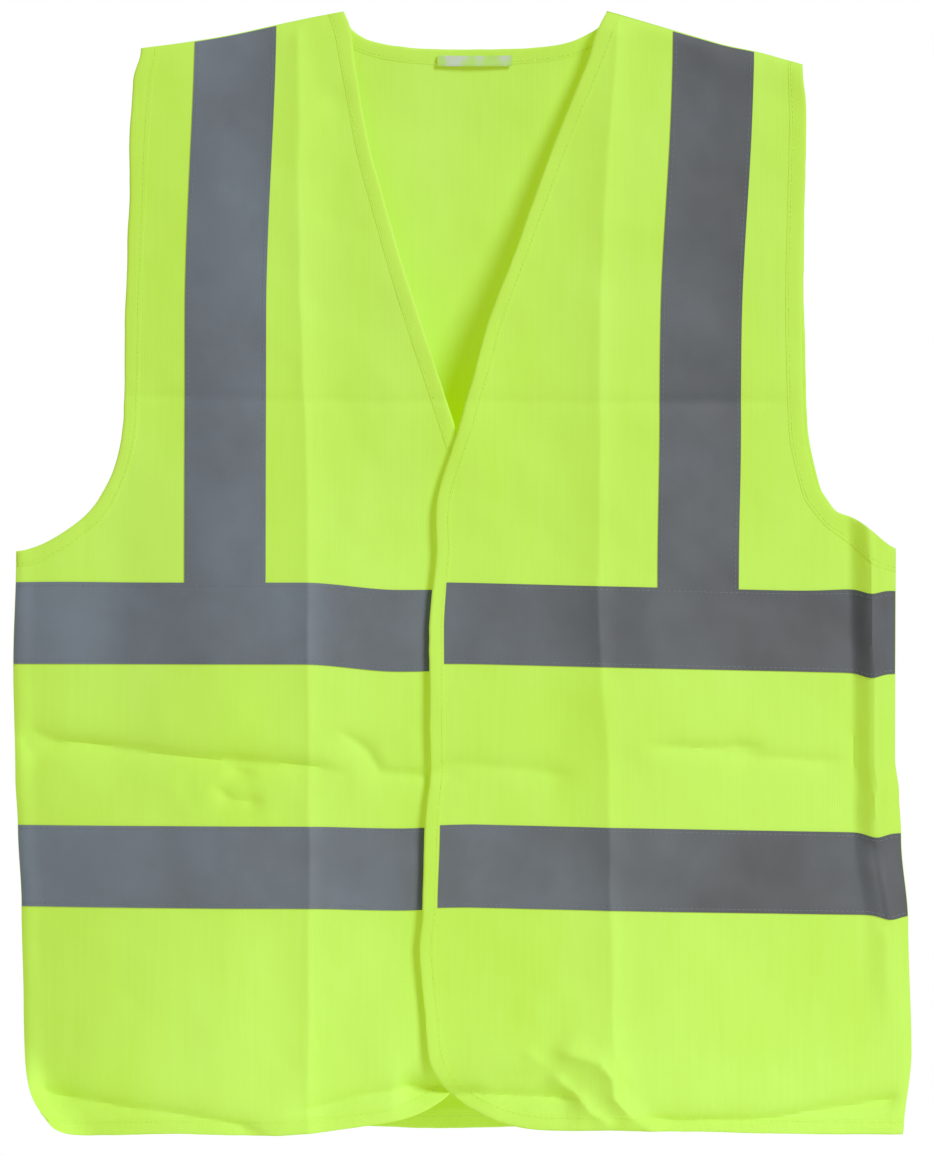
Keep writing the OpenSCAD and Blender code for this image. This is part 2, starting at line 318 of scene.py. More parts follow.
def crease(x, z, height, reach, *line, taper=25, wander=1.0, seed=0):
    """A fold along a line of (x, z) points: a ridge, or a valley where height is negative.

    reach is how far its slopes run, on the left of the line's direction and on the right.
    """
    x = x + wander * noise(x, z, 26, seed + 300)
    z = z + wander * noise(x, z, 22, seed + 400)
    best, left, run, done = np.full(np.shape(x), 1e9), False, 0.0, 0.0
    for (x0, z0), (x1, z1) in zip(line, line[1:]):
        part = math.hypot(x1 - x0, z1 - z0)
        ux, uz = (x1 - x0) / part, (z1 - z0) / part
        s = np.clip((x - x0) * ux + (z - z0) * uz, 0, part)
        dx, dz = x - x0 - s * ux, z - z0 - s * uz
        away = np.hypot(dx, dz)
        closer = away < best
        best = np.where(closer, away, best)
        left = np.where(closer, dz * ux - dx * uz > 0, left)
        run = np.where(closer, done + s, run)
        done += part
    best = np.sqrt(best**2 + 0.7**2) - 0.7
    ends = smooth(np.minimum(run, done - run) / taper)
    return height * ends * np.exp(-best / np.where(left, *reach))


def crumpled(x, z, *spots):
    """Small creases in a few places: (height, x, z, how far it spreads each way)."""
    rough = noise(x, z, 15, 13) + 0.6 * noise(x, z, 8, 14)
    return sum(h * rough * bump(x, z, cx, cz, rx, rz) for h, cx, cz, rx, rz in spots)


def front_relief(x, z):
    """How far the front cloth stands out from its plain shape."""
    r = 2.4 * noise(x, z * 0.3, 66, 11) * smooth(-z / 160)
    r += 0.9 * noise(x, z, 34, 12) + 0.25 * noise(x, z, 15, 19)
    # the folds that the packing left: two down the front and one across the chest
    r += crease(x, z, 3.0, (8, 13), (-108, 30), (-108, -40), (-101, -180), (-96, -300),
                (-95, -720), wander=0.8, seed=1)
    r += crease(x, z, 3.6, (9, 16), (90, 30), (85, -80), (86, -400), (90, -600), (91, -665),
                wander=0.8, seed=2)
    r += crease(x, z, -1.2, (4, 7), (-215, -236), (-95, -240), (86, -238), (210, -234), seed=3)
    # across the waist
    r += crease(x, z, -6.5, (13, 5.5), (-60, -468), (-98, -463), (-181, -456), (-230, -450),
                (-310, -445), taper=45, seed=4)
    r += crease(x, z, -3.6, (5, 7), (-84, -436), (-60, -450), (-52, -464), (0, -470), seed=5)
    r += crease(x, z, -2.6, (4, 6), (-150, -463), (-125, -471), taper=12, seed=6)
    r += crease(x, z, -3.2, (4, 6), (-156, -474), (-144, -483), (-120, -485), taper=12, seed=7)
    r += crease(x, z, -3.5, (7, 10), (-30, -464), (14, -464), (75, -470), seed=8)
    r += crease(x, z, -3.6, (4, 7), (105, -449), (157, -450), (166, -448), (192, -450), seed=9)
    r += crease(x, z, -2.8, (5, 7), (152, -454), (245, -457), seed=10)
    # above the hem, which turns a little forwards
    r += crease(x, z, -6.0, (6, 12), (-300, -660), (-211, -671), (-138, -681), (-112, -690),
                seed=11)
    r += crease(x, z, -5.5, (8, 12), (-112, -674), (-64, -667), (20, -662), seed=12)
    r += crease(x, z, -7.5, (10, 9), (-40, -661), (30, -664), (74, -666), taper=14, seed=13)
    r += crease(x, z, -6.0, (6, 7), (94, -675), (130, -680), (175, -680), (205, -677),
                (300, -664), seed=14)
    # the crumpled end of the fold at the flap's corner
    r += crease(x, z, 7.0, (8, 9), (52, -634), (81, -643), (90, -654), (91, -665),
                (101, -677), (124, -690), wander=0.6, taper=15, seed=15)
    r += crease(x, z, 3.2, (3, 6), (54, -650), (71, -666), (76, -673), (92, -684), taper=8,
                wander=0.6, seed=16)
    r += crease(x, z, 1.5, (3, 6), (36, -634), (54, -649), taper=8, seed=17)
    # soft shoulders and a soft roll beside the neck edge
    r += 2.6 * np.exp(-(((x + 0.17 * z + 34) / 17) ** 2)) * bump(x, z, -52, -225, 90, 90)
    r -= 1.2 * bump(x, z, -84, -55, 12, 10) + 1.2 * bump(x, z, 192, -50, 12, 12)
    r += crumpled(x, z, (0.8, 80, -655, 50, 25), (0.45, -140, -478, 60, 18),
                  (0.45, -60, -455, 40, 20), (0.5, 250, -330, 25, 25))
    return r + side_pleat(x, z)


def side_pleat(x, z):
    """The pleat that runs down from the left arm: a steep face, a sharp ridge and a soft fall."""
    ridge = eased(-z, (300, 252), (345, 257), (410, 258.5), (454, 258.5), (505, 255.5), (556, 259))
    tall = eased(-z, (296, 3), (345, 11), (480, 10.5), (520, 5), (570, 3.5), (640, 0))
    rise, fall = np.clip(1 - (ridge - x) / 13, 0, 1), np.clip(1 - (x - ridge) / 15, 0, 1)
    shape = np.where(x < ridge, 0.65 * rise + 0.35 * smooth(rise), smooth(fall))
    line = crease(x, z, -2.0, (4, 3.5), (255, -498), (259, -562), taper=10, wander=0.3, seed=18)
    return tall * shape + line


def back_relief(x, z):
    r = 2.0 * noise(x, z * 0.3, 66, 21) * smooth(-z / 160)
    r += 0.8 * noise(x, z, 36, 22) + 0.2 * noise(x, z, 15, 28)
    r += crease(x, z, 2.8, (9, 13), (-108, 30), (-101, -180), (-95, -720), seed=23)
    r += crease(x, z, 3.0, (10, 14), (90, 30), (86, -300), (91, -720), seed=24)
    r += crease(x, z, -1.2, (5, 7), (-290, -238), (290, -240), seed=25)
    r += crease(x, z, -3.5, (6, 11), (-290, -448), (-60, -462), (120, -455), (290, -458), seed=26)
    r += crease(x, z, -2.4, (5, 7), (-40, -470), (30, -482), (95, -480), taper=15, seed=29)
    r += crease(x, z, -4.0, (6, 10), (-300, -664), (-120, -677), (60, -672), (300, -668), seed=27)
    return r + crumpled(x, z, (0.5, 120, -650, 50, 25), (0.45, -90, -455, 60, 20))


# -------- from pattern to hanging vest


def mid_y(x, z):
    """Distance of the cloth's middle from the plane of the seams."""
    out = np.maximum(0, np.abs(x) - FOLD_X)
    fall = -SHOULDER_FALL * (SHOULDER_HALF - NECK_HALF) * out / (SHOULDER_HALF - FOLD_X)
    bulge = np.cos(np.clip(math.pi / 2 * out / (HALF_W + 2 - FOLD_X), 0, math.pi / 2))
    return SEWN_GAP + DEPTH_SLOPE * np.maximum(0, -z - fall) * bulge


def seam_distance(x, z):
    """Distance to the nearest seam between the front and back cloth."""
    x = np.abs(x)
    shoulder = np.where(x > NECK_HALF - 4, shoulder_z(x) - z, 1e3)
    side = np.where(z < -ARM_END, HALF_W - x, 1e3)
    return np.clip(np.minimum(shoulder, side), 0, None)


# How far the vest's edges hang out of true: (how far down, how far towards +X)
LEFT_SIDE = (
    (250, 0), (333, -8), (454, -8.4), (475, -6), (503, -4.6), (554, -0.3), (640, 1.7), (691, -3.2),
)
RIGHT_SIDE = (
    (250, 0), (333, -3.2), (401, -5), (470, -3.7), (500, -2.2), (550, 0.1), (610, 1.4), (663, 2.5),
)
LEFT_ARMHOLE = ((30, 0), (60, 2.5), (240, 2.5), (300, 0))
RIGHT_ARMHOLE = (
    (14, 0), (30, -2.8), (48, -6.4), (72, -6.3), (130, -3.4), (170, -2.3), (240, -1.7),
    (290, -2), (320, 0),
)
UPPER_FRONT_EDGE = (
    (0, 0), (73, -3.6), (147, -2.6), (189, -3.8), (232, -1.4), (257, 0), (298, -1.6),
    (338, 4), (380, 2), (466, 2.5), (501, -0.5), (552, -2), (573, -4), (618, -1),
    (655, -6), (680, -3),
)
UNDER_FRONT_EDGE = ((0, 0), (98, -8.7), (230, -9.6), (262, -9.7), (340, 0), (610, 0), (665, -10))
UNDER_FRONT_SAG = ((250, 0), (345, -4.5), (410, -4.5), (500, -1.2), (620, -1), (670, 4))


def hang(x, z):
    """How far the vest hangs out of true, sideways and down. The front and back share it."""
    d = -z
    dx = 6 * smooth(1 - d / 190)
    dx = dx + eased(d, *LEFT_SIDE) * smooth((x - 190) / 75)
    dx = dx + eased(d, *RIGHT_SIDE) * smooth((-x - 190) / 75)
    shoulder = -0.05 * np.sign(x) * np.maximum(0, np.abs(x) - NECK_HALF)
    low = smooth((d - 60) / 200)
    tilt = eased(d, (351, -0.0235), (553, -0.0248), (650, 0)) * np.maximum(0, x + 15)
    level = eased(d, (351, 0.2), (498, 2), (553, 1.5), (650, 0.5)) * smooth((x + 40) / 50)
    dz = shoulder * (1 - low) + (tilt + level) * low
    dz = dz + 1.8 * smooth((x - 150) / 30) * (1 - smooth((d - 30) / 60))
    dz = dz - 1.6 * bump(x, z, -155, -18, 35, 40)
    pleat = smooth((d - 330) / 15) * smooth((600 - d) / 30)
    dz = dz - 2.8 * pleat * np.exp(-(((x - eased(d, (500, 257), (556, 262))) / 8) ** 2))
    # the underarms ride up a little
    dz = dz + 9 * bump(x, z, 246, -322, 26, 18) + 13 * bump(x, z, 258, -322, 26, 20)
    dz = dz + 7 * bump(x, z, 223, -305, 13, 15)
    dz = dz + 4 * bump(x, z, -245, -322, 32, 20)
    dx = dx + 3.4 * bump(x, z, 213, -282, 22, 24)
    dx = dx + eased(d, *LEFT_ARMHOLE) * smooth((x - 185) / 20)
    dx = dx + eased(d, *RIGHT_ARMHOLE) * smooth((-x - 185) / 17)
    # the neck points lean in
    dx = dx + 2.2 * bump(x, z, -78, -8, 12, 14) - 3 * bump(x, z, 72, -10, 12, 14)
    return dx, dz


def front_hang(x, z, half):
    """What each front panel adds to that, towards its free edge."""
    d = -z
    edge_x = np.maximum(NECK_HALF - V_SLOPE * d, -OVERLAP)
    free = 1 - smooth((half * x - edge_x) / np.maximum(FOLD_X - edge_x, 12))
    if half == LEFT:
        lean = eased(d, (60, 0), (240, -2.7), (350, -4.2), (480, 0))
        dx = lean * smooth((x - 20) / 60) * (1 - smooth((x - 205) / 50))
        return dx + free * eased(d, *UPPER_FRONT_EDGE), 0 * d
    dz = eased(d, *UNDER_FRONT_SAG) * smooth((x + 100) / 60)
    return free * eased(d, *UNDER_FRONT_EDGE), dz - 2.2 * bump(x, z, -112, -690, 40, 30)


def curled(points):
    """The lower corner under the right arm, where the cloth curls forwards."""
    x, y, z = points[..., 0], points[..., 1], points[..., 2]
    beyond = np.maximum(0, (x - CURL_AT[0]) * CURL_OUT[0] + (z - CURL_AT[1]) * CURL_OUT[1])
    turn = beyond / CURL_R
    back = beyond - CURL_R * np.sin(turn)
    forwards = CURL_R * (1 - np.cos(turn))
    return np.stack([x - back * CURL_OUT[0], y - forwards, z - back * CURL_OUT[1]], -1)


def place(x, z, off, side, half):
    """Points of the hanging vest, in metres. off is the distance outwards from mid cloth."""
    x, z, off = np.broadcast_arrays(np.array(x, float), z, off)
    world_x = half * x
    seam = seam_distance(x, z)
    join = np.sqrt(1 - (1 - np.clip(seam / SEAM_ROUND, 0, 1)) ** 2)
    y = SEAM_MEET + (mid_y(x, z) - SEAM_MEET) * join
    hold = smooth(seam / SEAM_HOLD)
    dx, dz = hang(world_x, z)
    if side == FRONT:
        y = y + hold * front_relief(world_x, z)
        if half == LEFT:
            y = y + LAP_SLOPE * np.maximum(0, FOLD_X - x)
        more_x, more_z = front_hang(world_x, z, half)
        dx, dz = dx + hold * more_x, dz + hold * more_z
    else:
        y = y + hold * back_relief(world_x, z)
        dz = dz + 2 * bump(world_x, z, 10, -20, 80, 40) - 5.5 * bump(world_x, z, -8, -690, 80, 50)
    y = np.maximum(y, SEAM_MEET) + off
    return curled(np.stack([world_x + dx, side * y, z + dz], -1)) * MM


# -------- mesh making


def new_object(name, verts, quads, material, smooth_angle=40):
    mesh = bpy.data.meshes.new(name)
    verts = np.ascontiguousarray(verts, np.float32).reshape(-1, 3)
    quads = np.ascontiguousarray(quads, np.int32).reshape(-1, 4)
    mesh.vertices.add(len(verts))
    mesh.vertices.foreach_set("co", verts.ravel())
    mesh.loops.add(quads.size)
    mesh.loops.foreach_set("vertex_index", quads.ravel())
    mesh.polygons.add(len(quads))
    mesh.polygons.foreach_set("loop_start", np.arange(0, quads.size, 4, dtype=np.int32))
    mesh.update(calc_edges=True)
    mesh.polygons.foreach_set("use_smooth", np.ones(len(quads), bool))
    mesh.set_sharp_from_angle(angle=math.radians(smooth_angle))
    mesh.materials.append(material)
    obj = bpy.data.objects.new(name, mesh)
    bpy.context.scene.collection.objects.link(obj)
    return obj


def sheet_mesh(name, grid, low, high, side, half, material):
    """A closed sheet over a grid of pattern points, between two offsets from mid cloth."""
    faces = [place(*grid, off, side, half) for off in (high, low)]
    return closed_sheet(name, faces, side * half, material)


def closed_sheet(name, faces, facing, material):
    """A closed sheet between two grids of points. facing is 1 or -1, for its winding."""
    rows, cols = faces[0].shape[:2]
    n = rows * cols
    verts = np.concatenate([f.reshape(-1, 3) for f in faces])
    idx = np.arange(n).reshape(rows, cols)
    a, b, c, d = idx[:-1, :-1], idx[:-1, 1:], idx[1:, 1:], idx[1:, :-1]
    outer = np.stack([a, d, c, b], -1).reshape(-1, 4)
    inner = np.stack([a, b, c, d], -1).reshape(-1, 4) + n
    rim = np.concatenate([idx[0], idx[1:, -1], idx[-1, -2::-1], idx[-2:0:-1, 0]])
    after = np.roll(rim, -1)
    wall = np.stack([rim, after, after + n, rim + n], -1)
    quads = np.concatenate([outer, inner, wall])
    if facing == 1:
        quads = quads[:, ::-1]
    return new_object(name, verts, quads, material)


def across(left, right, cols):
    """A grid between two outlines with the same number of points."""
    t = np.linspace(0, 1, cols)[None, :]
    x = left[:, :1] * (1 - t) + right[:, :1] * t
    z = left[:, 1:] * (1 - t) + right[:, 1:] * t
    return x, z


def between(left, right, step):
    """A grid of cells about step wide between two outlines."""
    rows = int(math.ceil(max(length(left), length(right)) / step)) + 1
    left, right = respaced(left, rows), respaced(right, rows)
    widest = np.linalg.norm(right - left, axis=1).max()
    return across(left, right, int(math.ceil(widest / step)) + 1)


def finer_at_fold(x, z):
    """The grid again, with its columns twice as close together where the fronts bend."""
    lo, hi = FOLD_X - BLEND_IN, FOLD_X + BLEND_OUT
    start, end = (v + np.clip(v, lo, hi) for v in (x[:, :1], x[:, -1:]))
    at = start + (end - start) * np.linspace(0, 1, x.shape[1])
    new = np.where(at < 2 * lo, at - lo, np.where(at > 2 * hi, at - hi, at / 2))
    share = (new - x[:, :1]) / (x[:, -1:] - x[:, :1])
    return new, z[:, :1] + share * (z[:, -1:] - z[:, :1])


def level_band(x0, x1, top, bottom, step=BAND_STEP):
    """A grid for a level strip."""
    cols, rows = int(abs(x1 - x0) / step) + 2, int((bottom - top) / step) + 2
    return np.meshgrid(np.linspace(x0, x1, cols), np.linspace(-top, -bottom, rows))


def folded_section():
    """Points round a folded binding's cloth: how far across it, and how far from the panel."""
    other_side = tuple((t, -o) for t, o in BINDING_SECTION[-2::-1])
    reach, off = np.array(BINDING_SECTION + other_side).T
    slope = np.stack([np.gradient(reach) * BINDING_W, np.gradient(off)])
    slope /= np.linalg.norm(slope, axis=0)
    faces = [
        np.stack([reach - half_t * slope[1] / BINDING_W, off - half_t * slope[0]], 1)
        for half_t in (BINDING_HALF_T, -BINDING_HALF_T)
    ]
    return np.concatenate([faces[0], faces[1][::-1]])


def tube_quads(rings, around):
    """The faces of a flattened tube with closed ends."""
    idx = np.arange(rings * around).reshape(rings, around)
    a, b = idx[:-1], idx[1:]
    quads = np.stack([a, np.roll(a, -1, 1), np.roll(b, -1, 1), b], -1).reshape(-1, 4)
    k = np.arange(around // 2 - 1)
    cap = np.stack([k, around - 1 - k, around - 2 - k, k + 1], -1)
    return np.concatenate([quads, cap, cap[:, ::-1] + idx[-1, 0]])


def binding_mesh(name, outline, side, half, material, seed):
    """Cloth folded round an edge and stitched down. outline(inset) gives the edge's points."""
    count = int(length(outline(0)) / BINDING_STEP) + 2
    outer, inner = (respaced(outline(w), count) for w in (0.0, BINDING_W))
    s = np.linspace(0, length(outline(0)), count)
    wave = 0.35 * noise(s, s * 0, 24, seed) + 0.15 * noise(s, s * 0, 7, seed + 1)
    pucker = 0.10 * np.cos(2 * math.pi * s / STITCH_PITCH) + 0.16 * noise(s, s * 0, 6, seed + 2)
    ring = []
    for t, o in folded_section():
        shift = (1 - t) * wave / BINDING_W
        points = outer * (1 - t - shift)[:, None] + inner * (t + shift)[:, None]
        near_stitch = math.exp(-(((t - STITCH_AT) / 0.25) ** 2))
        swell = 1 + pucker * near_stitch + 0.15 * noise(s, s * 0 + 40 * abs(o), 11, seed + 3)
        ring.append(place(points[:, 0], points[:, 1], o * swell, side, half))
    quads = tube_quads(count, len(ring))
    along_edge, inwards = outer[1] - outer[0], inner[0] - outer[0]
    turn = np.sign(along_edge[0] * inwards[1] - along_edge[1] * inwards[0])
    if side * half * turn == 1:
        quads = quads[:, ::-1]
    return new_object(name, np.stack(ring, 1), quads, material, 60)


def stitch_run(line, off, side, half):
    """The middle, direction and length of each stitch along a line of pattern points."""
    count = max(2, int(round(length(line) / STITCH_PITCH)))
    at = respaced(line, 2 * count + 1)
    spots = place(at[:, 0], at[:, 1], off, side, half)
    mid = spots[1::2]
    run = spots[2::2] - spots[:-1:2]
    run /= np.linalg.norm(run, axis=1, keepdims=True)
    return mid, run, np.full((len(mid), 1), STITCH_LEN)


def links(spots, overlap=1.0):
    """The same for straight lengths of thread from each row of points to the next."""
    runs = []
    for a, b in zip(spots, spots[1:]):
        far = np.linalg.norm(b - a, axis=1, keepdims=True)
        runs.append(((a + b) / 2, (b - a) / far, overlap * far / MM))
    return runs


def thread_mesh(name, runs, material, radius=STITCH_R):
    """Every stitch of a piece as a short rounded length of thread."""
    mid, run, far = (np.concatenate(part) for part in zip(*runs))
    # roughly across the cloth, and never along a stitch
    out = np.broadcast_to(np.array([0.06, 1.0, 0.03]), run.shape)
    sideways = np.cross(run, out)
    sideways /= np.linalg.norm(sideways, axis=1, keepdims=True)
    out = np.cross(sideways, run)
    wobble = np.random.default_rng(len(mid)).normal(0, 0.05, len(mid))[:, None]
    run = run + wobble * sideways
    turn = np.arange(STITCH_SIDES) / STITCH_SIDES * 2 * math.pi
    verts = [
        mid[:, None]
        + (run * at * far * MM)[:, None]
        + radius * MM * fat * (
            np.cos(turn)[None, :, None] * sideways[:, None]
            + np.sin(turn)[None, :, None] * out[:, None]
        )
        for at, fat in STITCH_RINGS
    ]
    verts = np.stack(verts, 1).reshape(-1, 3)
    rings, n = len(STITCH_RINGS), STITCH_SIDES
    quads = [
        [r * n + k, r * n + (k + 1) % n, (r + 1) * n + (k + 1) % n, (r + 1) * n + k]
        for r in range(rings - 1) for k in range(n)
    ]
    last = (rings - 1) * n  # then the two six-sided ends
    quads += [[3, 2, 1, 0], [5, 4, 3, 0]]
    quads += [[last, last + 1, last + 2, last + 3], [last, last + 3, last + 4, last + 5]]
    quads = np.array(quads)[None] + (np.arange(len(mid)) * rings * n)[:, None, None]
    return new_object(name, verts, quads.reshape(-1, 4)[:, ::-1], material, 80)


# -------- materials


def linear(r, g, b):
    """sRGB from 0 to 255 as linear."""
    out = []
    for v in (r, g, b):
        v = v / 255
        out.append(v / 12.92 if v < 0.04045 else ((v + 0.055) / 1.055) ** 2.4)
    return (*out, 1.0)


class Nodes:
    """A short way to write a material's nodes."""

    def __init__(self, name):
        self.material = bpy.data.materials.new(name)
        self.material.use_nodes = True
        self.tree = self.material.node_tree
        self.shader = self.tree.nodes["Principled BSDF"]
        self.place = self.new("ShaderNodeTexCoord").outputs["Object"]

    def new(self, kind, **values):
        node = self.tree.nodes.new(kind)
        for key, value in values.items():
            setattr(node, key, value)
        return node

    def put(self, value, socket):
        if isinstance(value, bpy.types.NodeSocket):
            self.tree.links.new(value, socket)
        else:
            socket.default_value = value

    def math(self, op, a, b=0.0, c=0.0):
        node = self.new("ShaderNodeMath", operation=op)
        for value, socket in zip((a, b, c), node.inputs):
            self.put(value, socket)
        return node.outputs[0]

    def noise(self, scale, detail=3.0, rough=0.5, stretch=(1, 1, 1)):
        where = self.new("ShaderNodeMapping")
        self.put(self.place, where.inputs["Vector"])
        where.inputs["Scale"].default_value = stretch
        node = self.new("ShaderNodeTexNoise")
        self.put(where.outputs[0], node.inputs["Vector"])
        node.inputs["Scale"].default_value = scale
        node.inputs["Detail"].default_value = detail
        node.inputs["Roughness"].default_value = rough
        return node.outputs["Fac"]

    def ramp(self, fac, *stops):
        node = self.new("ShaderNodeValToRGB")
        self.put(fac, node.inputs[0])
        elements = node.color_ramp.elements
        elements[0].position, elements[0].color = stops[0]
        elements[1].position, elements[1].color = stops[-1]
        for at, color in stops[1:-1]:
            elements.new(at).color = color
        return node.outputs[0]

    def mix(self, fac, a, b, blend="MIX"):
        node = self.new("ShaderNodeMix", data_type="RGBA", blend_type=blend)
        self.put(fac, node.inputs[0])
        self.put(a, node.inputs[6])
        self.put(b, node.inputs[7])
        return node.outputs[2]

    def waves(self, pitch, axis):
        """A sine along one axis, from 0 to 1."""
        split = self.new("ShaderNodeSeparateXYZ")
        self.put(self.place, split.inputs[0])
        turns = self.math("MULTIPLY", split.outputs[axis], 2 * math.pi / (pitch * MM))
        return self.math("MULTIPLY_ADD", self.math("SINE", turns), 0.5, 0.5)

    def bump(self, height, strength, distance):
        node = self.new("ShaderNodeBump")
        self.put(height, node.inputs["Height"])
        node.inputs["Strength"].default_value = strength
        node.inputs["Distance"].default_value = distance * MM
        return node.outputs[0]

    def finish(self, color, rough, normal=None, **inputs):
        self.put(color, self.shader.inputs["Base Color"])
        self.put(rough, self.shader.inputs["Roughness"])
        if normal is not None:
            self.put(normal, self.shader.inputs["Normal"])
        for name, value in inputs.items():
            self.put(value, self.shader.inputs[name.replace("_", " ")])
        return self.material


def knit_material(name, mid, deep, sheen=0.2):
    """Fluorescent warp-knitted polyester: fine upright ribs crossed by closer courses, with painted
    shade in the grooves and a painted glow that lightens the shaded cloth.
    """
    n = Nodes(name)
    cloudy = n.noise(9, 3, 0.55, (1, 1, 0.5))
    streak = n.noise(300, 2, 0.5, (1, 1, 0.05))
    tone = n.math("MULTIPLY_ADD", streak, 0.2, n.math("MULTIPLY", cloudy, 0.8))
    color = n.ramp(tone, (0.3, deep), (0.7, mid))
    ribs, courses = n.waves(1.1, "X"), n.waves(0.8, "Z")
    knit = n.math("MULTIPLY", ribs, n.math("MULTIPLY_ADD", courses, 0.5, 0.5))
    fuzz = n.noise(900, 2, 0.6)
    height = n.math("MULTIPLY_ADD", fuzz, 0.3, knit)
    # painted shade: the cloth turns a little darker in the knit's grooves, where the bump is lowest
    color = n.mix(n.math("MULTIPLY", n.math("SUBTRACT", 1.0, knit), 0.06), color, deep)
    rough = n.math("MULTIPLY_ADD", fuzz, 0.15, 0.72)
    # the emission is a painted glow: it stands in for the dye's fluorescence and for bounced light,
    # and lightens the shaded cloth
    return n.finish(
        color, rough, n.bump(height, 0.35, 0.12),
        Sheen_Weight=sheen, Sheen_Roughness=0.45, Sheen_Tint=(0.85, 1.0, 0.5, 1.0),
        Emission_Color=PAINTED_GLOW, Emission_Strength=PAINTED_GLOW_STRENGTH, Specular_IOR_Level=0.25,
    )


def tape_material():
    """Glass bead tape: a fine-grained grey satin, a little bluer to the wearer's right."""
    n = Nodes("reflective_tape")
    cloudy = n.noise(14, 4, 0.6, (1, 1, 0.8))
    beads = n.noise(3200, 1, 0.4)
    split = n.new("ShaderNodeSeparateXYZ")
    n.put(n.place, split.inputs[0])
    drift = n.math("MULTIPLY", split.outputs["X"], TAPE_DRIFT)
    tone = n.math("MULTIPLY_ADD", cloudy, 0.75, drift)
    tone = n.math("MULTIPLY_ADD", beads, 0.25, tone)
    color = n.ramp(
        tone, (0.1, linear(78, 79, 80)), (0.5, linear(96, 101, 106)), (0.9, linear(112, 122, 132))
    )
    weave = n.math("MULTIPLY", n.waves(0.55, "X"), n.waves(0.55, "Z"))
    height = n.math("MULTIPLY_ADD", beads, 0.6, n.math("MULTIPLY", weave, 0.5))
    rough = n.math("MULTIPLY_ADD", cloudy, 0.2, 0.5)
    return n.finish(
        color, rough, n.bump(height, 0.25, 0.06), Metallic=0.1, Specular_IOR_Level=0.3,
        Sheen_Weight=0.15, Sheen_Roughness=0.6,
    )


def thread_material(name, color, deep):
    n = Nodes(name)
    twist = n.noise(2500, 1, 0.5)
    return n.finish(n.ramp(twist, (0.3, deep), (0.7, color)), 0.6, n.bump(twist, 0.4, 0.05))


def pile_material(name, color, deep):
    """The hooked or looped face of a touch fastener."""
    n = Nodes(name)
    pile = n.noise(1500, 3, 0.6)
    return n.finish(n.ramp(pile, (0.3, deep), (0.7, color)), 0.7, n.bump(pile, 0.6, 0.2),
                    Sheen_Weight=0.4)


def label_material():
    """Thin woven satin that the lime cloth shows through in places."""
    n = Nodes("woven_label")
    weave = n.math("MULTIPLY", n.waves(0.4, "X"), n.waves(0.4, "Z"))
    thin = n.noise(75, 2, 0.5, (1, 1, 0.5))
    color = n.ramp(thin, (0.46, linear(168, 212, 88)), (0.6, linear(186, 200, 172)))
    color = n.mix(n.math("MULTIPLY", weave, 0.2), color, linear(236, 242, 230))
    return n.finish(color, 0.5, n.bump(weave, 0.3, 0.06), Sheen_Weight=0.2)


CLOTH = knit_material("lime_knit", linear(142, 187, 99), linear(132, 176, 76))
BINDING = knit_material("lime_binding", linear(142, 186, 94), linear(130, 174, 74))
TAPE = tape_material()
TAPE_THREAD = thread_material("grey_thread", linear(126, 138, 146), linear(98, 106, 112))
LIME_THREAD = thread_material("lime_thread", linear(205, 246, 120), linear(165, 210, 60))
PILE = pile_material("lime_pile", linear(180, 226, 90), linear(140, 190, 50))
LABEL = label_material()

# -------- putting it together


def follow(piece, blended):
    """The piece stays on the vest's body, or, if it crosses the fold line, is left on no body with
    its transform baked into its mesh.
    """
    if blended:
        bends(piece)
    else:
        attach(piece, "vest_body")


def bends(piece):
    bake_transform(piece)


def front_panel(half):
    left = along(neck_edge(UNDER_BINDING), front_edge(UNDER_BINDING)[1:])
    right = side_edge(UNDER_BINDING)
    piece = sheet_mesh(
        f"{SIDE_NAME[half]}_front_panel", finer_at_fold(*between(left, right, CLOTH_STEP)),
        -CLOTH_HALF_T, CLOTH_HALF_T, FRONT, half, CLOTH,
    )
    flap = FLAP_BODY[half]
    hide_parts(f"{SIDE_NAME[half]}_side_panel", f"{flap}_panel")
    bends(piece)


def back_grid():
    """The whole back: rows follow the armholes and sides, and the top row the neckline."""
    edge = side_edge(UNDER_BINDING)
    rows = int(length(edge) / BACK_STEP) + 1
    edge = respaced(edge, rows)
    scoop = back_neck(UNDER_BINDING)
    neck = respaced(scoop, int(length(scoop) / BACK_STEP) + 1)
    reach = edge[0, 0]
    cols = int((reach - neck[-1, 0]) / BACK_STEP) + 1
    shoulder_x = np.linspace(neck[-1, 0], reach, cols + 1)[1:]
    half_x = np.concatenate([neck[:, 0], shoulder_x])
    half_z = np.concatenate([neck[:, 1], shoulder_z(shoulder_x)])
    top_x = np.concatenate([-half_x[:0:-1], half_x])
    top_z = np.concatenate([half_z[:0:-1], half_z])
    x = top_x[None] / reach * edge[:, :1]
    fade = 1 - smooth((edge[0, 1] - edge[:, 1:]) / 90)
    z = edge[:, 1:] + (top_z[None] - edge[0, 1]) * fade
    hem = hem_z(x, UNDER_BINDING) - edge[-1, 1]
    z = z + hem * smooth((-edge[:, 1:] - 500) / 150)
    return x, z


def back_panel():
    piece = sheet_mesh(
        "back_panel_cloth", back_grid(), -CLOTH_HALF_T, CLOTH_HALF_T, BACK, LEFT, CLOTH
    )
    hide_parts("back_panel")
    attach(piece, "vest_body")


def tape_piece(name, grid, side, half, replaced, blended):
    piece = sheet_mesh(name, grid, TAPE_LOW, TAPE_HIGH, side, half, TAPE)
    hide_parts(*replaced)
    follow(piece, blended)


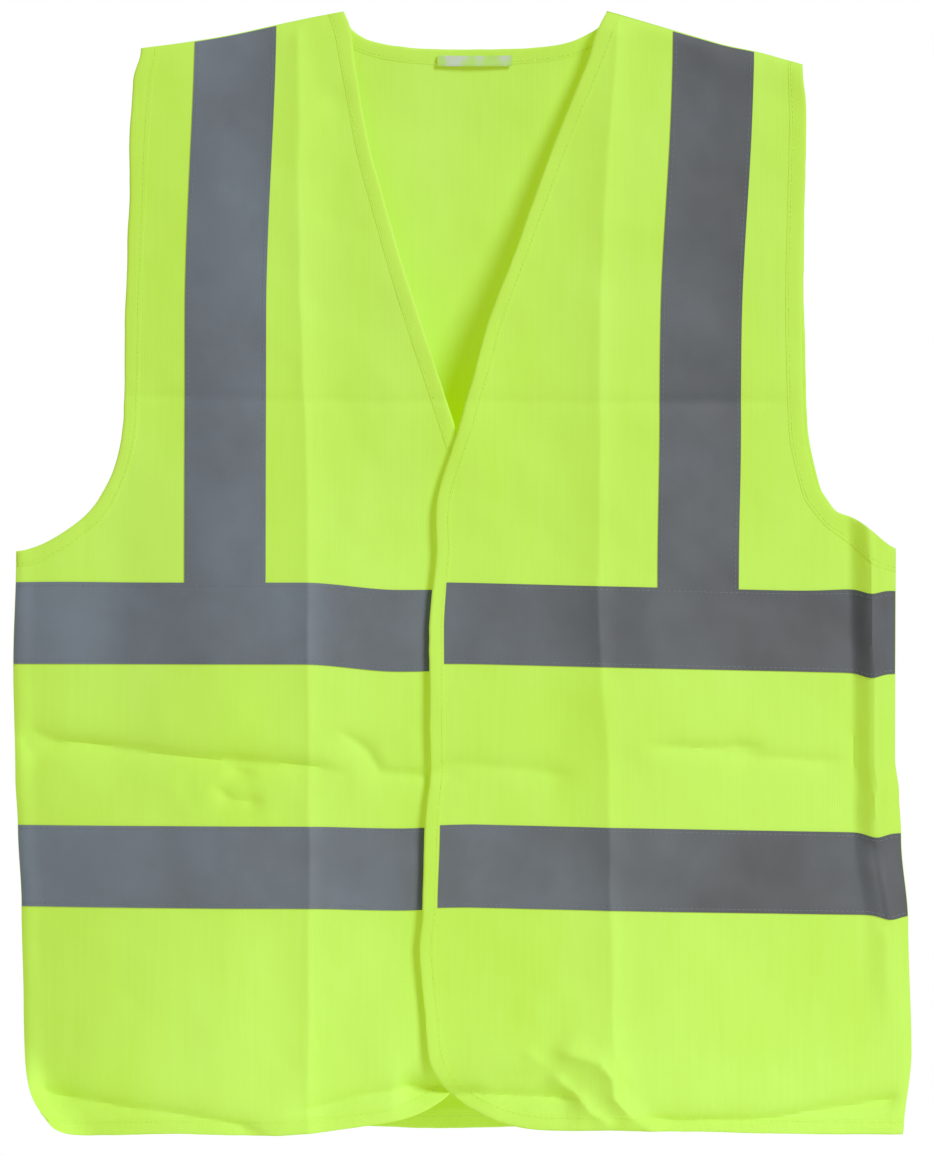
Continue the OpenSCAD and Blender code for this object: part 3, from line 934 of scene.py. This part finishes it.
def shoulder_tape(side, half):
    bottom = -UPPER_TAPE[0]
    xs = np.linspace(*TAPE_X, SHOULDER_TAPE_GRID[0])
    t = np.linspace(0, 1, SHOULDER_TAPE_GRID[1])[:, None]
    x = np.broadcast_to(xs, (len(t), len(xs)))
    z = (shoulder_z(xs) - SHOULDER_GAP)[None] * (1 - t) + bottom * t
    node = f"{SIDE_NAME[half]}_shoulder_tape_{'front' if side == FRONT else 'back'}"
    tape_piece(node + "_strip", (x, z), side, half, [node], False)


def front_tape(half, level, depth):
    flap, name = FLAP_BODY[half], SIDE_NAME[half]
    start = FRONT_TAPE_END[half]
    grid = finer_at_fold(*level_band(start, HALF_W - SIDE_GAP, *depth, FRONT_TAPE_STEP))
    tape_piece(
        f"{name}_front_{level}_tape", grid, FRONT, half,
        [f"{level}_tape_{name}_side", f"{flap}_{level}_tape"], True,
    )


def back_tape(level, depth):
    grid = level_band(SIDE_GAP - HALF_W, HALF_W - SIDE_GAP, *depth)
    tape_piece(
        f"back_{level}_tape", grid, BACK, LEFT,
        [f"{level}_tape_back"], False,
    )


def bound_edge(name, outline, side, half, replaced, blended, seed):
    piece = binding_mesh(name, outline, side, half, BINDING, seed)
    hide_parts(*replaced)
    follow(piece, blended)
    # cut twice as wide as it looks, then folded round the edge
    length(outline(0)) * MM


def whole_front_edge(inset):
    """The front edge, round the corner and along the hem to the side seam."""
    x = np.linspace(CORNER_W - OVERLAP, HALF_W - SIDE_GAP, 60)[1:]
    return along(front_edge(inset), np.stack([x, hem_z(x, inset)], 1))


def back_hem(inset):
    x = np.linspace(SIDE_GAP - HALF_W, HALF_W - SIDE_GAP, 240)
    return np.stack([x, hem_z(x, inset)], 1)


def whole_back_neck(inset):
    right = back_neck(inset)
    return along(right[:0:-1] * (-1, 1), right)


def on_seam(x, off, z, half):
    """Points that hang off the plane of the seams."""
    dx, dz = hang(half * x, z)
    return curled(np.stack([half * x + dx, off + 0 * x, z + dz], -1)) * MM


def seam_allowance(half, name, line, inwards, seed):
    """The raw edges of front and back, turned inwards and oversewn along their free edge."""
    count = int(length(line) / SEAM_STEP) + 2
    line = respaced(line, count)
    s = np.linspace(0, length(line), count)
    depth = np.linspace(SEAM_START, SEAM_W, 5)
    depth = depth[None] * (1 + 0.05 * noise(s, s * 0, 15, seed)[:, None])
    x = line[:, :1] + inwards[0] * depth
    z = line[:, 1:] + inwards[1] * depth
    wave = 0.2 * noise(s, s * 0, 18, seed + 1)[:, None] * smooth(depth / SEAM_W)
    sheets = [on_seam(x, wave + off, z, half) for off in (-SEAM_HALF_T, SEAM_HALF_T)]
    piece = closed_sheet(name, sheets, half, BINDING)
    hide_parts(name.rsplit("_", 1)[0])
    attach(piece, "vest_body")
    oversew(name + "_thread", [v[:, -1] for v in (x, z, wave)], length(line), inwards, half)


def oversew(name, edge, run, inwards, half):
    """A loop of thread over a free edge every few millimetres. edge is its x, z and wave."""
    at = np.linspace(0, 1, int(run / OVERSEW_PITCH))
    x, z, wave = (np.interp(at, np.linspace(0, 1, len(v)), v) for v in edge)
    spots = [
        on_seam(x - inwards[0] * inset, wave + off, z - inwards[1] * inset, half)
        for off, inset in OVERSEW_LOOP
    ]
    thread = thread_mesh(name, links(spots), LIME_THREAD)
    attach(thread, "vest_body")


def seams():
    for half in (LEFT, RIGHT):
        name = SIDE_NAME[half]
        x = np.linspace(NECK_HALF + BINDING_W, SHOULDER_HALF - BINDING_W, 40)
        line = np.stack([x, shoulder_z(x)], 1)
        seam_allowance(half, f"{name}_shoulder_seam_allowance", line, (0.0, -1.0), 90)
        z = np.linspace(-ARM_END - BINDING_W, hem_z(HALF_W) + BINDING_W, 80)
        line = np.stack([z * 0 + HALF_W, z], 1)
        seam_allowance(half, f"{name}_side_seam_allowance", line, (-1.0, 0.0), 94)


def bindings():
    for half, flap in FLAP_BODY.items():
        name = SIDE_NAME[half]
        bound_edge(f"{name}_neck_edge", neck_edge, FRONT, half,
                   [f"{flap}_neck_binding"], True, 40 + half)
        bound_edge(f"{name}_front_edge", whole_front_edge, FRONT, half,
                   [f"{flap}_front_binding", f"{name}_side_hem_binding"], True, 50 + half)
        for side, face in ((FRONT, "front"), (BACK, "back")):
            bound_edge(f"{name}_armhole_edge_{face}", armhole, side, half,
                       [f"{name}_armhole_binding_{face}"], False, 60 + half + 5 * side)
    bound_edge("back_neck_edge", whole_back_neck, BACK, LEFT, ["back_neck_binding"], False, 80)
    bound_edge("back_hem_edge", back_hem, BACK, LEFT, ["back_hem_binding"], False, 84)


def level_lines(x0, x1, depth):
    """The stitch lines just inside a level tape's two long edges."""
    x = np.linspace(x0 + STITCH_END, x1 - STITCH_END, 200)
    return [np.stack([x, x * 0 - z], 1) for z in (depth[0] + STITCH_INSET, depth[1] - STITCH_INSET)]


def upright_lines():
    """The same for a shoulder tape."""
    lines = []
    for x in (TAPE_X[0] + STITCH_INSET, TAPE_X[1] - STITCH_INSET):
        z = np.linspace(shoulder_z(x) - 2, -UPPER_TAPE[0], 120)
        lines.append(np.stack([z * 0 + x, z], 1))
    return lines


# Thread, slot, and how far from mid cloth it shows on the outer and inner face
SEWING = {
    "tape": (TAPE_THREAD, "tape", (TAPE_HIGH + STITCH_LIFT, -CLOTH_HALF_T - STITCH_LIFT)),
    "hem": (LIME_THREAD, "binding", (HEM_STITCH_LIFT, -HEM_STITCH_LIFT)),
}


def sewn(name, kind, lines, side):
    """The thread along lines of pattern points, each given with its half."""
    material, slot, faces = SEWING[kind]
    runs = [stitch_run(line, off, side, half) for line, half in lines for off in faces]
    piece = thread_mesh(f"{name}_{kind}_thread", runs, material)
    return piece


def threads():
    inset = BINDING_W * STITCH_AT
    for half, name in SIDE_NAME.items():
        tapes = [(line, half) for line in upright_lines()]
        for depth in (UPPER_TAPE, LOWER_TAPE):
            tapes += [(line, half) for line in level_lines(FRONT_TAPE_END[half], HALF_W, depth)]
        hems = [(edge(inset), half) for edge in (neck_edge, whole_front_edge, armhole)]
        bends(sewn(name + "_front", "tape", tapes, FRONT))
        bends(sewn(name + "_front", "hem", hems, FRONT))
    tapes = [(line, half) for half in SIDE_NAME for line in upright_lines()]
    for depth in (UPPER_TAPE, LOWER_TAPE):
        tapes += [(line, LEFT) for line in level_lines(-HALF_W, HALF_W, depth)]
    hems = [(armhole(inset), half) for half in SIDE_NAME]
    hems += [(edge(inset), LEFT) for edge in (whole_back_neck, back_hem)]
    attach(sewn("back", "tape", tapes, BACK), "vest_body")
    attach(sewn("back", "hem", hems, BACK), "vest_body")


def fastener(name, node, half, facing, hooks):
    """A patch of touch fastener sewn to a flap: a woven ground under rows of hooks or loops."""
    lo, hi = span(node)
    grid = level_band(*sorted((half * lo[0], half * hi[0])), -hi[2], -lo[2], PATCH_STEP)
    off = facing * (CLOTH_HALF_T + PATCH_GAP)
    ground = (off, off + facing * PATCH_T)
    piece = sheet_mesh(name, grid, min(ground), max(ground), FRONT, half, PILE)
    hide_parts(node)
    pile = thread_mesh(
        name + ("_hooks" if hooks else "_loops"),
        pile_runs(lo, hi, half, off, facing, hooks), PILE, PILE_R,
    )
    (x0, _, z0), (x1, _, z1) = lo + PATCH_SEWN, hi - PATCH_SEWN
    outline = np.array([[x0, z0], [x1, z0], [x1, z1], [x0, z1], [x0, z0]]) * (half, 1)
    stitches = stitch_run(outline, off + facing * (PATCH_T + PILE_ROOT), FRONT, half)
    thread = thread_mesh(name + "_thread", [stitches], LIME_THREAD)
    for part in (piece, pile, thread):
        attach(part, FLAP_BODY[half])


def pile_runs(lo, hi, half, off, facing, hooks):
    """The pile's threads: a loop goes up and back down, and a hook stops short of the ground."""
    start, end = lo + PILE_MARGIN[0], hi - PILE_MARGIN[1]
    xs = np.arange(start[0], end[0], PILE_PITCH)
    zs = np.arange(start[2], end[2], PILE_PITCH)
    x, z = (v.ravel() for v in np.meshgrid(xs, zs))
    rng = np.random.default_rng(int(-lo[2]) + hooks)
    x = x + rng.uniform(-0.25, 0.25, x.shape)
    z = z + rng.uniform(-0.15, 0.15, x.shape)
    lean = rng.uniform(-0.5, 0.5, x.shape)
    spots = []
    for a in np.linspace(0, math.pi * (0.8 if hooks else 1.0), 6):
        reach = PILE_REACH * (1 - np.cos(a))
        height = off + facing * (PATCH_T + PILE_ROOT + PILE_HEIGHT * math.sin(a))
        px, pz = x + reach * np.sin(lean), z + reach * np.cos(lean)
        spots.append(place(half * px, pz, height, FRONT, half))
    return links(spots, PILE_OVERLAP)


def patches():
    for level in ("upper", "lower"):
        fastener(f"{level}_loop_fastener", f"{level}_loop_patch", LEFT, -1, hooks=False)
        fastener(f"{level}_hook_fastener", f"{level}_hook_patch", RIGHT, 1, hooks=True)


def neck_label():
    """A small folded label, sewn in along its top edge."""
    lo, hi = span("neck_label")
    rows, cols = 22, 40
    u = np.linspace(-1, 1, cols)[None]
    t = np.linspace(0, 1, rows)[:, None]
    # down the front leaf, round the fold and up the back leaf
    turn = np.clip((t - 0.5) / 0.06, -1, 1) * math.pi / 2
    fall = np.minimum(np.minimum(t, 1 - t) / LABEL_LEAF, 1.0)
    x = LABEL_SHIFT + u * (hi[0] - lo[0]) / 2 * (1 + 0 * t)
    z = hi[2] - 0.3 - (hi[2] - lo[2] - 0.9) * fall - 0.4 * np.cos(turn) + 0.25 * u**2
    y = (lo[1] + hi[1]) / 2 + LABEL_GAP * np.sin(turn) * (0.5 + 0.5 * fall)
    y = y + 0.25 * noise(x + 0 * y, z, 12, 77) * fall
    y = y - 0.5 * fall * (0.5 + 0.5 * np.cos(2.2 * u))
    out, down = LABEL_HALF_T * np.sin(turn), LABEL_HALF_T * np.cos(turn)
    faces = [np.stack([x + 0 * z, y + s * out, z - s * down], -1) * MM for s in (1, -1)]
    piece = closed_sheet("blank_neck_label", faces, -1, LABEL)
    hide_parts("neck_label")
    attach(piece, "label_tab")


for half in (LEFT, RIGHT):
    front_panel(half)
    shoulder_tape(FRONT, half)
    shoulder_tape(BACK, half)
    for level, depth in (("upper", UPPER_TAPE), ("lower", LOWER_TAPE)):
        front_tape(half, level, depth)
back_panel()
back_tape("upper", UPPER_TAPE)
back_tape("lower", LOWER_TAPE)
bindings()
seams()
threads()
patches()
neck_label()

# -------- studio and camera


def studio():
    world = bpy.data.worlds.new("studio")
    world.use_nodes = True
    tree = world.node_tree
    light = tree.nodes["Background"]
    light.inputs["Color"].default_value = (0.97, 0.98, 1.0, 1)
    light.inputs["Strength"].default_value = WORLD_LIGHT
    seen = tree.nodes.new("ShaderNodeBackground")
    seen.inputs["Color"].default_value = (1, 1, 1, 1)
    mix = tree.nodes.new("ShaderNodeMixShader")
    tree.links.new(tree.nodes.new("ShaderNodeLightPath").outputs["Is Camera Ray"], mix.inputs[0])
    tree.links.new(light.outputs[0], mix.inputs[1])
    tree.links.new(seen.outputs[0], mix.inputs[2])
    tree.links.new(mix.outputs[0], tree.nodes["World Output"].inputs["Surface"])
    bpy.context.scene.world = world
    bpy.context.scene.view_settings.view_transform = "Standard"
    for name, towards, strength, softness in SUNS:
        data = bpy.data.lights.new(name, "SUN")
        data.energy, data.angle = strength, math.radians(softness)
        lamp = bpy.data.objects.new(name, data)
        bpy.context.scene.collection.objects.link(lamp)
        lamp.rotation_euler = Vector(towards).to_track_quat("Z", "Y").to_euler()
    bpy.ops.mesh.primitive_circle_add(
        vertices=96, radius=FLOOR_R, fill_type="NGON", location=(0, 0, cad_lo[2] - FLOOR_GAP)
    )
    floor = bpy.context.active_object
    floor.name = "studio_floor"
    n = Nodes("studio_floor")
    floor.data.materials.append(n.finish((0.9, 0.9, 0.9, 1), 0.8))


def camera():
    """Straight on, from far enough away that the picture is nearly flat."""
    data = bpy.data.cameras.new("camera")
    cam = bpy.data.objects.new("camera", data)
    bpy.context.scene.collection.objects.link(cam)
    cam.location = (CAMERA_X, -CAMERA_FAR, CAMERA_Z)
    cam.rotation_euler = (math.pi / 2, 0, 0)
    data.sensor_width = SENSOR
    data.lens = SENSOR * (CAMERA_FAR - VIEW_PLANE) / VIEW_HEIGHT
    data.clip_end = 20
    bpy.context.scene.camera = cam


studio()
camera()
